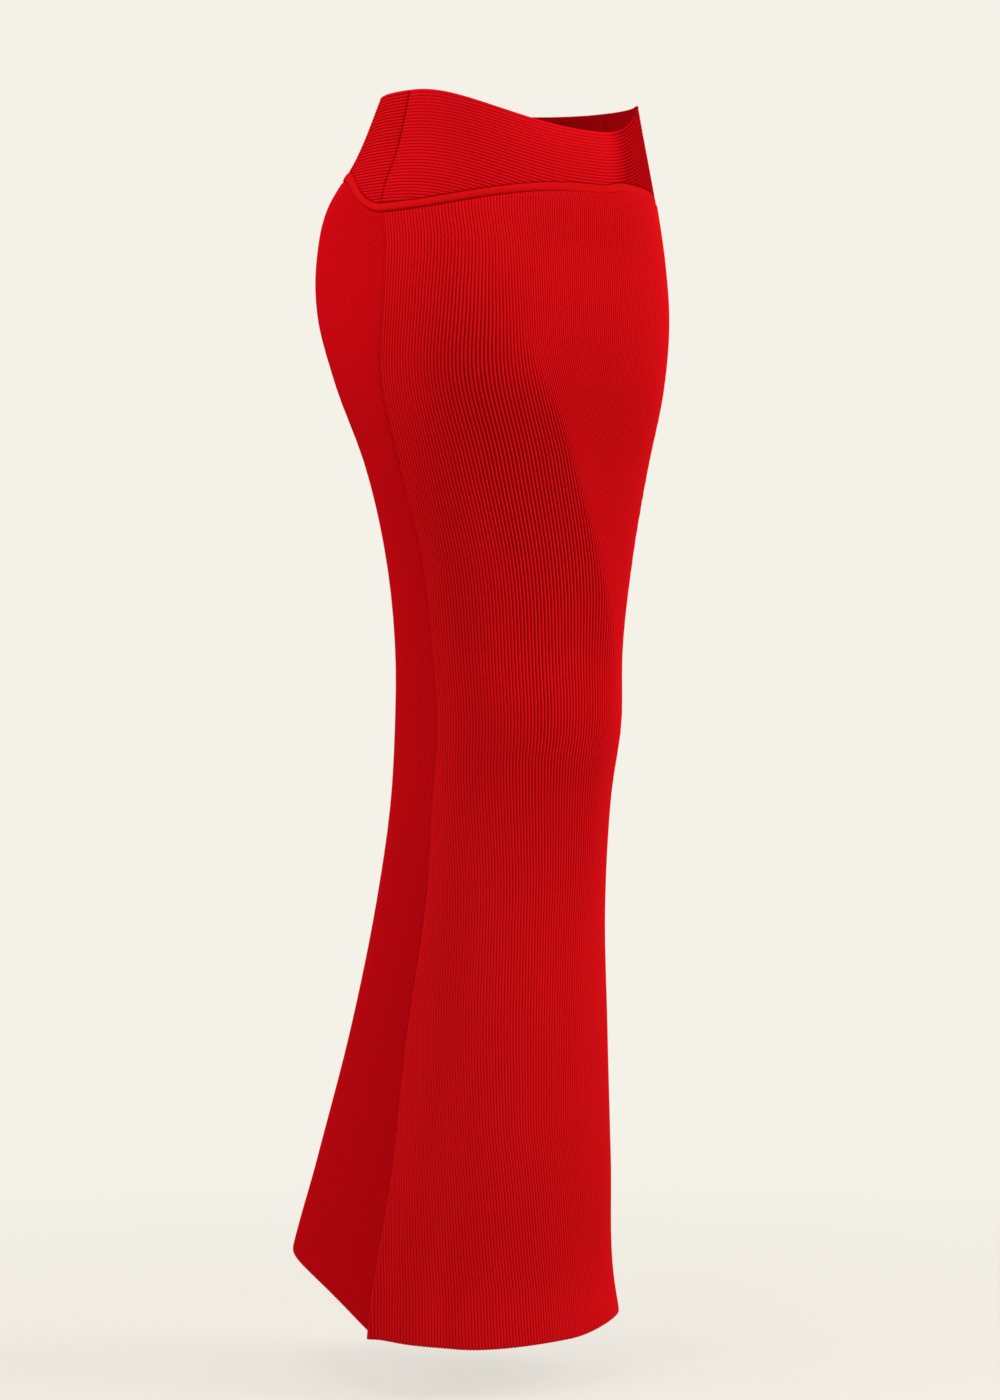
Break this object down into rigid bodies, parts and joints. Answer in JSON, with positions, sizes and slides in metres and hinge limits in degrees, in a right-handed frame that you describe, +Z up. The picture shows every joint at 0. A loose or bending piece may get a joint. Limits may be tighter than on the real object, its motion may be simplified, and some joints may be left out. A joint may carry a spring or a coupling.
{
  "type": "maxi skirt",
  "caption": "Long pull-on skirt in ribbed knit, hollow as worn: a wide waistband with round ribs, a rolled trim, close hips and knees, and a flared hem.",
  "frame": {"origin": "middle of the waist opening, at the height of the lowest point of the top edge at the front", "axes": "+Z up towards the waist, -Y towards the front, -X towards the right side as worn"},
  "size_m": [0.3142, 0.3255, 1.0585],
  "materials": {
    "waistband_knit": "matt ribbed knit",
    "trim_knit": "matt rolled knit",
    "skirt_knit": "matt ribbed knit"
  },
  "bodies": {
    "root": {"waistband_front": "waistband_knit", "waistband_back": "waistband_knit", "trim_front": "trim_knit", "trim_back": "trim_knit", "skirt_front": "skirt_knit", "skirt_back": "skirt_knit"}
  },
  "joints": []
}
